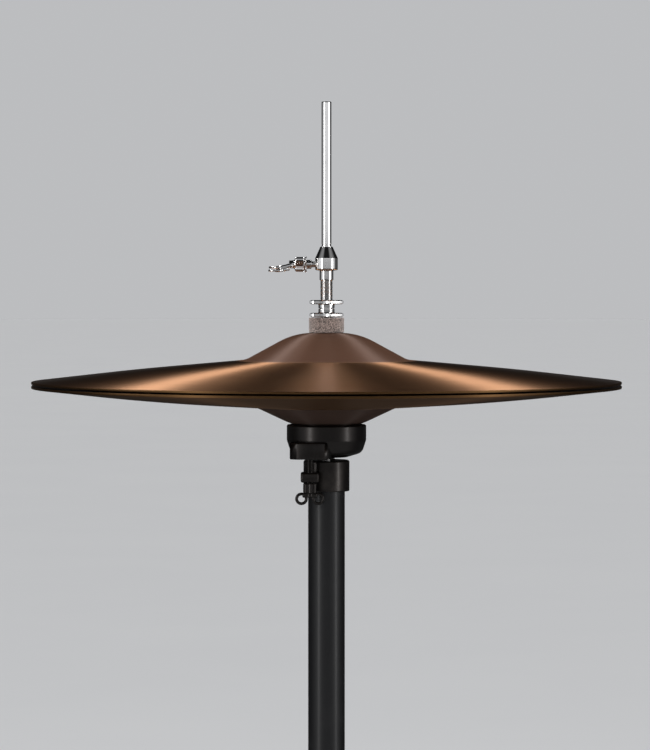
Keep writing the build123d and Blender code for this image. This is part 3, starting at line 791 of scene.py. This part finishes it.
@dataclass
class Clutch:
    """What clamps the top cymbal to the pull rod."""

    thread_radius: float = 4.0 * MM
    bore: float = 3.15 * MM
    pitch: float = 0.8 * MM
    drum_radius: float = 6.85 * MM
    cone_radius: float = 3.75 * MM
    felt_hole: float = 5.3 * MM
    nut_hub: float = 4.9 * MM
    nut_hole: float = 4.05 * MM
    nut_flange: float = 2.4 * MM
    bolt_radius: float = 1.9 * MM

    def felt(self, shop: Shop, node: str, name: str) -> None:
        """A felt washer with soft corners and an uneven, fibrous surface.

        Args:
            shop: what dresses the piece.
            node: the CAD node that it stands for.
            name: the piece's name.
        """
        bottom, top = low(node)[2], high(node)[2]
        radius, hole = high(node)[0] - 0.1 * MM, self.felt_hole
        corners = [(hole, bottom), (radius, bottom), (radius, top), (hole, top)]
        outline = rounded(corners, [0.6 * MM, 0.6 * MM], 4)
        washer = turned(name, outline, segments=120, angle=60.0)
        pick(washer)
        fibres = bpy.data.textures.new(f"{name}_fibres", "CLOUDS")
        fibres.noise_scale = 0.9 * MM
        press = washer.modifiers.new("press", "DISPLACE")
        press.texture = fibres
        press.texture_coords = "GLOBAL"
        press.strength = 0.2 * MM
        press.mid_level = 0.85
        bpy.ops.object.modifier_apply(modifier="press")
        shop.place(washer, "felts", Slot.FELT, (node,))

    def nut(self, shop: Shop, node: str, body: str, hub_up: bool) -> None:
        """A thumb nut: a knurled flange and a plain hub.

        Args:
            shop: what dresses the piece.
            node: the CAD node that it stands for.
            body: the CAD body that it rides on.
            hub_up: whether the hub stands above the flange.
        """
        bottom, top = low(node)[2], high(node)[2]
        radius, hub, flange, hole = high(node)[0], self.nut_hub, self.nut_flange, self.nut_hole
        reach = top - bottom
        corners = [
            (hole, 0.0),
            (hole + 0.5 * MM, 0.0),
            (radius - 0.9 * MM, 0.0),
            (radius, 0.5 * MM),
            (radius, flange - 0.5 * MM),
            (radius - 0.9 * MM, flange),
            (hub + 0.3 * MM, flange),
            (hub, flange + 0.4 * MM),
            (hub, reach - 0.4 * MM),
            (hub - 0.4 * MM, reach),
            (hole, reach),
        ]
        if hub_up:
            outline = [(r, bottom + h) for r, h in corners]
        else:
            outline = [(r, top - h) for r, h in corners]
        knurled = turned(f"{node}_knurled", outline, 144, flutes=(radius - 0.3 * MM, 0.975), angle=25.0)
        shop.place(knurled, body, Slot.CHROME, (node,))

    def body(self, shop: Shop) -> None:
        """The clutch tube: threaded below, a neck, a drum for the wing bolt and a cone on top.

        Args:
            shop: what dresses the piece.
        """
        bottom, top = low("clutch_body")[2], high("clutch_body")[2]
        drum = top - 14.2 * MM
        neck = drum - 6.0 * MM
        outline = [(self.bore, bottom), (self.thread_radius - 0.6 * MM, bottom)]
        outline += thread(self.thread_radius - 0.2 * MM, bottom + 0.6 * MM, neck, self.pitch, 0.38 * MM)
        outline += rounded(
            [
                (self.thread_radius - 0.4 * MM, neck),
                (self.thread_radius + 0.2 * MM, neck + 0.3 * MM),
                (self.thread_radius + 0.2 * MM, drum - 0.2 * MM),
                (self.drum_radius, drum + 0.2 * MM),
                (self.drum_radius, drum + 7.3 * MM),
                (self.cone_radius, top),
                (self.bore + 0.1 * MM, top),
            ],
            [0.1 * MM, 0.15 * MM, 0.8 * MM, 0.3 * MM, 0.2 * MM],
            4,
        )
        outline.append((self.bore, top - 0.3 * MM))
        shop.place(turned("clutch_tube", outline, 96), "clutch", Slot.CHROME, ("clutch_body",))

    def wing_bolt(self, shop: Shop) -> None:
        """The bolt that grips the rod: thread, flange, knurled barrel, root and two thin wings.

        Its outline is measured along the bolt, outwards from the rod's axis.

        Args:
            shop: what dresses the piece.
        """
        reach, end = -high("clutch_wing_bolt")[0], low("clutch_wing_bolt")[0]
        height = (low("clutch_wing_bolt")[2] + high("clutch_wing_bolt")[2]) / 2
        place = (0.0, 0.0, height)
        outline = [(CORE, reach), (1.4 * MM, reach)]
        outline += thread(self.bolt_radius, reach + 0.3 * MM, 8.9 * MM, self.pitch, 0.28 * MM)
        outline += rounded(
            [
                (self.bolt_radius, 9.0 * MM),
                (2.7 * MM, 9.1 * MM),
                (2.7 * MM, 11.9 * MM),
                (4.9 * MM, 12.0 * MM),
                (4.9 * MM, 12.9 * MM),
                (3.5 * MM, 13.0 * MM),
                (3.5 * MM, 13.5 * MM),
                (4.5 * MM, 13.8 * MM),
                (4.5 * MM, 18.6 * MM),
                (2.5 * MM, 19.4 * MM),
                (2.3 * MM, 22.6 * MM),
            ],
            [0.5 * MM, 0.1 * MM, 0.2 * MM, 0.2 * MM, 0.1 * MM, 0.1 * MM, 0.8 * MM, 0.9 * MM, 0.3 * MM],
        )
        outline.append((CORE, 22.6 * MM))
        shank = turned("wing_shank", outline, 60, place, Axis.LEFT, (4.2 * MM, 0.93), 25.0)
        root = (end + 11.2 * MM, 0.0, height - 1.5 * MM)
        wings = [shank, milled("root", root, (8.6 * MM, 6.4 * MM, 2.9 * MM), 1.1 * MM, (0, -0.26, 0))]
        for side in (-1, 1):
            drop = (2.8 - side * 0.95) * MM
            deselect()
            bpy.ops.mesh.primitive_cylinder_add(vertices=40, radius=1.0, depth=1.0)
            wing = bpy.context.object
            wing.scale = (5.6 * MM, 4.4 * MM, 1.2 * MM)
            wing.rotation_euler = (0, 0, math.radians(-side * 32))
            wing.location = (end + 5.9 * MM, side * 6.9 * MM, height - drop)
            bpy.ops.object.transform_apply(location=True, rotation=True, scale=True)
            bpy.ops.object.mode_set(mode="EDIT")
            bpy.ops.mesh.select_all(action="SELECT")
            bpy.ops.mesh.bevel(offset=0.35 * MM, segments=3, affect="EDGES")
            wings.append(finish_piece(wing, 40.0))
            arm_centre = (end + 9.0 * MM, side * 3.6 * MM, height - drop + 0.35 * MM)
            arm_turn = (0.0, -0.12, math.radians(-side * 34))
            wings.append(milled("arm", arm_centre, (8.4 * MM, 4.4 * MM, 1.7 * MM), 0.6 * MM, arm_turn))
        bolt = joined("clutch_wing_screw", wings)
        shop.place(bolt, "clutch_wing", Slot.CHROME, ("clutch_wing_bolt",))

    def build(self, shop: Shop) -> None:
        """Make every piece of the clutch.

        Args:
            shop: what dresses the pieces.
        """
        self.body(shop)
        self.wing_bolt(shop)
        self.nut(shop, "clutch_lower_nut", "lower_nut", True)
        self.nut(shop, "clutch_upper_nut", "upper_nut", False)
        self.nut(shop, "clutch_bottom_nut", "bottom_nut", False)
        self.felt(shop, "clutch_upper_felt", "upper_felt_washer")
        self.felt(shop, "clutch_lower_felt", "lower_felt_washer")


# ---- tubes, rod and tilter -------------------------------------------------------------------


@dataclass
class Tubes:
    """The pull rod and the stand's tubes, turned smooth."""

    rod_radius: float = 3.0 * MM
    groove_below_top: float = 86.7 * MM
    upper: tuple[float, float] = (11.1 * MM, 9.9 * MM)
    lower: tuple[float, float] = (14.3 * MM, 12.8 * MM)
    soft: float = 0.4 * MM

    def rod(self, shop: Shop) -> None:
        """The upper pull rod with its witness groove and chamfered end.

        Args:
            shop: what dresses the piece.
        """
        bottom, top = low("upper_pull_rod")[2], high("upper_pull_rod")[2]
        groove = top - self.groove_below_top
        outline = [
            (CORE, bottom),
            (self.rod_radius, bottom),
            (self.rod_radius, groove),
            (self.rod_radius - 0.3 * MM, groove + 0.3 * MM),
            (self.rod_radius - 0.3 * MM, groove + 0.6 * MM),
            (self.rod_radius, groove + 0.9 * MM),
            (self.rod_radius, top - 0.5 * MM),
            (self.rod_radius - 0.2 * MM, top - 0.12 * MM),
            (self.rod_radius - 0.6 * MM, top),
            (CORE, top),
        ]
        shop.place(turned("pull_rod_bar", outline, 64), "pull_rod", Slot.CHROME, ("upper_pull_rod",))

    def sleeve(self, shop: Shop, node: str, body: str, radii: tuple[float, float]) -> None:
        """One stand tube with softened ends.

        Args:
            shop: what dresses the piece.
            node: the CAD node that it stands for.
            body: the CAD body that it rides on.
            radii: its outer and inner radius.
        """
        bottom, top = low(node)[2], high(node)[2]
        outer, inner = radii
        outline = [
            (inner, bottom),
            (outer - self.soft, bottom),
            (outer, bottom + self.soft),
            (outer, top - self.soft),
            (outer - self.soft, top),
            (inner, top),
        ]
        shop.place(turned(f"{node}_drawn", outline, 128), body, Slot.GLOSS_BLACK, (node,))

    def build(self, shop: Shop) -> None:
        """Make the rod and both tubes.

        Args:
            shop: what dresses the pieces.
        """
        self.rod(shop)
        self.sleeve(shop, "upper_tube", "upper_stand", self.upper)
        self.sleeve(shop, "lower_tube", "stand", self.lower)


@dataclass
class Tilter:
    """The seat cup, its front block, the sleeve that holds it and the tilt screw."""

    cup_radius: float = 24.0 * MM
    cup_bottom: float = 784.3 * MM
    cup_lip: float = 804.0 * MM
    bore: float = 4.4 * MM
    post: float = 5.6 * MM
    sleeve_radius: float = 13.9 * MM
    sleeve_bore: float = 11.12 * MM
    screw: tuple[float, float] = (-10.0 * MM, -18.5 * MM)
    screw_pitch: float = 0.8 * MM

    def cup(self, shop: Shop) -> None:
        """The seat cup with its rolled lip, its middle post, its front block and its rear lug.

        Args:
            shop: what dresses the piece.
        """
        bottom, lip = self.cup_bottom, self.cup_lip
        outline = rounded(
            [
                (self.bore, bottom),
                (12.4 * MM, bottom),
                (21.5 * MM, bottom + 2.7 * MM),
                (self.cup_radius, bottom + 10.3 * MM),
                (self.cup_radius, lip),
                (self.cup_radius - 2.5 * MM, lip),
                (self.cup_radius - 2.5 * MM, bottom + 11.9 * MM),
                (self.post, bottom + 11.9 * MM),
                (self.post, lip + 2 * MM),
                (self.bore, lip + 2 * MM),
            ],
            [4 * MM, 5 * MM, 4 * MM, 1.0 * MM, 0.6 * MM, 0.4 * MM, 0.4 * MM, 0.5 * MM],
        )
        shell = turned("cup", outline, 144)
        block = milled("block", (-9.5 * MM, -18 * MM, 789 * MM), (25 * MM, 15 * MM, 10 * MM), 0.8 * MM)
        self.clip_corners(block)
        lug = milled("lug", (0, 18 * MM, 780.6 * MM), (10 * MM, 6.6 * MM, 11.4 * MM), 1.2 * MM)
        shop.place(joined("tilter_seat_cup", [shell, block, lug]), "seat", Slot.BLACK_NICKEL, ("seat_cup",))

    def clip_corners(self, block: bpy.types.Object) -> None:
        """Cut both front corners off the tilter's block with two planes and close the cuts.

        Args:
            block: the block.
        """
        pick(block)
        bpy.ops.object.mode_set(mode="EDIT")
        for side, corner in ((-1, -17.7 * MM), (1, -1.3 * MM)):
            bpy.ops.mesh.select_all(action="SELECT")
            bpy.ops.mesh.bisect(
                plane_co=(corner, -25.5 * MM, 0),
                plane_no=(side, -1, 0),
                use_fill=True,
                clear_outer=True,
            )
        deselect()

    def sleeve(self, shop: Shop) -> None:
        """The sleeve on the tube, with ears for the hinge pin and a lug for the screw.

        Args:
            shop: what dresses the piece.
        """
        bottom, top = low("tilter_base")[2], high("tilter_base")[2]
        outline = rounded(
            [
                (self.sleeve_bore, bottom),
                (self.sleeve_radius, bottom),
                (self.sleeve_radius, top),
                (6 * MM, top),
                (6 * MM, top - 1.4 * MM),
                (self.sleeve_bore, top - 1.5 * MM),
            ],
            [0.6 * MM, 1.2 * MM, 0.2 * MM, 0.2 * MM],
        )
        parts = [turned("sleeve", outline, 128)]
        for side in (-1, 1):
            centre = (side * 7.4 * MM, 16.0 * MM, 777.2 * MM)
            parts.append(milled("ear", centre, (4 * MM, 12.6 * MM, 8.6 * MM), 1.1 * MM))
        lug = (self.screw[0], self.screw[1] + 2.5 * MM, 773 * MM)
        parts.append(milled("lug", lug, (11 * MM, 11 * MM, 6 * MM), 1.2 * MM))
        shop.place(joined("tilter_sleeve", parts), "upper_stand", Slot.BLACK_NICKEL, ("tilter_base",))

    def tilt_screw(self, shop: Shop) -> None:
        """The tilt screw: thread, knurled stop nut, neck and a thumb piece with two rings.

        Args:
            shop: what dresses the piece.
        """
        place = (*self.screw, 0.0)
        outline = [(CORE, 789 * MM), (2.1 * MM, 789 * MM)]
        outline += thread(2.5 * MM, 769.6 * MM, 788.6 * MM, self.screw_pitch, 0.3 * MM)[::-1]
        outline += [
            (2.5 * MM, 769.4 * MM),
            (3.7 * MM, 769.4 * MM),
            (4.0 * MM, 769.0 * MM),
            (4.0 * MM, 764.0 * MM),
            (3.4 * MM, 763.4 * MM),
            (2.0 * MM, 763.0 * MM),
            (2.0 * MM, 761.6 * MM),
            (CORE, 761.6 * MM),
        ]
        pieces = [turned("thread", outline, 48, place, Axis.UP, (3.8 * MM, 0.95), 25.0)]
        for offset in (-5.0, 5.0):
            deselect()
            spot = (self.screw[0] + offset * MM, self.screw[1], 760.2 * MM)
            bpy.ops.mesh.primitive_torus_add(
                location=spot,
                rotation=(math.pi / 2, 0, 0),
                major_radius=2.9 * MM,
                minor_radius=0.9 * MM,
                major_segments=40,
                minor_segments=12,
            )
            ring = bpy.context.object
            pieces.append(finish_piece(ring, 60.0))
        bridge = (self.screw[0], self.screw[1], 762.2 * MM)
        pieces.append(milled("bridge", bridge, (9 * MM, 2.2 * MM, 2.6 * MM), 0.7 * MM))
        screw = joined("tilt_thumb_screw", pieces)
        shop.place(screw, "tilt_adjuster", Slot.BLACK_NICKEL, ("tilt_screw",))

    def build(self, shop: Shop) -> None:
        """Make the tilter's pieces.

        Args:
            shop: what dresses the pieces.
        """
        self.cup(shop)
        self.sleeve(shop)
        self.tilt_screw(shop)


# ---- studio ----------------------------------------------------------------------------------


@dataclass
class Studio:
    """A pale floor, soft lights and the camera.

    The lens is in millimetres and its pitch in degrees.  The steps in the air's glow are along a
    unit direction's height, depth or sideways part: a height of 0 is level and 1 is straight up.
    """

    distance: float = 2.0
    eye_above_rim: float = 66.7 * MM
    eye_side: float = -0.9 * MM
    rim: float = 830.0 * MM
    lens: float = 159.0
    pitch: float = 1.80
    seen_glow: float = 0.63
    room_glow: float = 1.0
    dark_glow: float = 0.012
    front_glow: float = 0.9
    low_glow: float = 0.3
    side_glow: float = 0.25
    lid_glow: float = 0.55
    back_glow: float = 0.07
    back_low_glow: float = 0.05
    gap_glow: float = 0.20

    def floor(self) -> None:
        """A wide pale floor."""
        deselect()
        bpy.ops.mesh.primitive_circle_add(vertices=96, radius=60.0, fill_type="NGON")
        ground = bpy.context.object
        ground.name = "studio_floor"
        ground.location = (0, 0, -0.5 * MM)
        bench = Bench("pale_floor")
        cloud = bench.noise(bench.place, 1.5, 4.0)
        bench.put(
            Base_Color=bench.mix(cloud, (0.72, 0.72, 0.72, 1), (0.75, 0.75, 0.745, 1)),
            Roughness=0.7,
        )
        ground.data.materials.append(bench.material)
        ground.visible_glossy = False

    def soft_box(
        self, name: str, place: Point, target: Point, size: tuple[float, float], power: float
    ) -> None:
        """Hang one rectangular soft light.

        Args:
            name: the light's name.
            place: where it hangs.
            target: the point it faces.
            size: its width and height.
            power: watts.
        """
        data = bpy.data.lights.new(name, "AREA")
        data.shape = "RECTANGLE"
        data.size, data.size_y = size
        data.energy = power
        lamp = bpy.data.objects.new(name, data)
        bpy.context.collection.objects.link(lamp)
        lamp.location = place
        aim = Vector(target) - Vector(place)
        lamp.rotation_euler = aim.to_track_quat("-Z", "Y").to_euler()

    def lights(self) -> None:
        """Light the air, two soft boxes above and behind, an upright strip each side, two streaks."""
        self.air()
        hat = (0.0, 0.0, self.rim + 10.0 * MM)
        self.soft_box("key", (-1.12, 0.60, 2.40), hat, (0.75, 0.35), 17)
        self.soft_box("fill", (1.10, 0.60, 2.40), hat, (0.65, 0.35), 15)
        self.soft_box("left_strip", (-1.5, -1.3, 0.95), hat, (0.25, 1.3), 6)
        self.soft_box("right_strip", (1.7, -0.9, 0.9), hat, (0.2, 1.2), 5)
        for side in (-1, 1):
            self.soft_box("streak", (side * 0.095, 0.38, 2.7), hat, (0.02, 0.05), 1.0)

    def air(self) -> None:
        """Surround everything with pale air that reflections see as a dark room with lit panels.

        In front, where the camera stands, they see a bright level band with a dim gap straight
        ahead, a faint floor, faint upper sides and a lid above; behind, only a trace of the band
        and the floor.
        """
        world = bpy.data.worlds.new("studio_air")
        world.use_nodes = True
        tree = world.node_tree
        sky = tree.nodes["Background"]
        sky.inputs[0].default_value = (0.80, 0.81, 0.83, 1)
        path = tree.nodes.new("ShaderNodeLightPath")
        direction = tree.nodes.new("ShaderNodeTexCoord")
        split = tree.nodes.new("ShaderNodeSeparateXYZ")
        tree.links.new(direction.outputs["Generated"], split.inputs[0])
        sideways, depth, height = (Wire(tree, split.outputs[axis]) for axis in "XYZ")
        front = 1 - depth.step(-0.25, 0.25)
        beside = depth.step(-0.80, -0.62)
        ahead = (1 - beside) * (self.gap_glow + (1 - self.gap_glow) * height.step(0.000, 0.008))
        band = height.step(-0.06, -0.03) * (1 - height.step(0.07, 0.10)) * (beside + ahead)
        floor = 1 - height.step(-0.30, -0.12)
        sides = (sideways * sideways).step(0.10, 0.35) * height.step(0.10, 0.30)
        lid = height.step(0.14, 0.24) * (1 - height.step(0.50, 0.60))
        level = self.front_glow * band + self.low_glow * floor
        near = front * (level + self.side_glow * sides + self.lid_glow * lid)
        far = (1 - front) * (self.back_glow * band + self.back_low_glow * floor)
        glossy = Wire(tree, path.outputs["Is Glossy Ray"])
        seen = self.seen_glow * Wire(tree, path.outputs["Is Camera Ray"])
        plain = self.room_glow * Wire(tree, path.outputs["Is Diffuse Ray"])
        strength = seen + plain + glossy * (self.dark_glow + near + far)
        tree.links.new(strength.socket, sky.inputs[1])
        bpy.context.scene.world = world

    def camera(self) -> None:
        """Stand a long lens a little above the cymbals and tip it down at them."""
        data = bpy.data.cameras.new("camera")
        data.lens = self.lens
        data.sensor_width = 36.0
        eye = bpy.data.objects.new("camera", data)
        bpy.context.collection.objects.link(eye)
        eye.location = (self.eye_side, -self.distance, self.rim + self.eye_above_rim)
        eye.rotation_euler = (math.radians(90 - self.pitch), 0, 0)
        bpy.context.scene.camera = eye
        bpy.context.scene.view_settings.view_transform = "Standard"

    def build(self) -> None:
        """Set the stage."""
        self.floor()
        self.lights()
        self.camera()


# ---- the whole instrument --------------------------------------------------------------------


def main() -> None:
    """Build and dress every piece, in order."""
    logging.basicConfig(level=logging.INFO, format="%(name)s: %(message)s")
    shop = Shop()
    shop.dress_frame()
    top = Cymbal(
        "top_cymbal",
        "top_hat",
        sign=1,
        base=(49.0 * MM, 13.0 * MM),
        shoulder=19.0 * MM,
        rise=29.3 * MM,
        wall=1.2 * MM,
    )
    bottom = Cymbal(
        "bottom_cymbal",
        "bottom_hat",
        sign=-1,
        base=(42.5 * MM, 12.0 * MM),
        shoulder=17.0 * MM,
        rise=24.0 * MM,
        wall=1.4 * MM,
    )
    top.build(shop)
    bottom.build(shop)
    Clutch().build(shop)
    Tubes().build(shop)
    Tilter().build(shop)
    Studio().build()


if __name__ == "__main__":
    main()
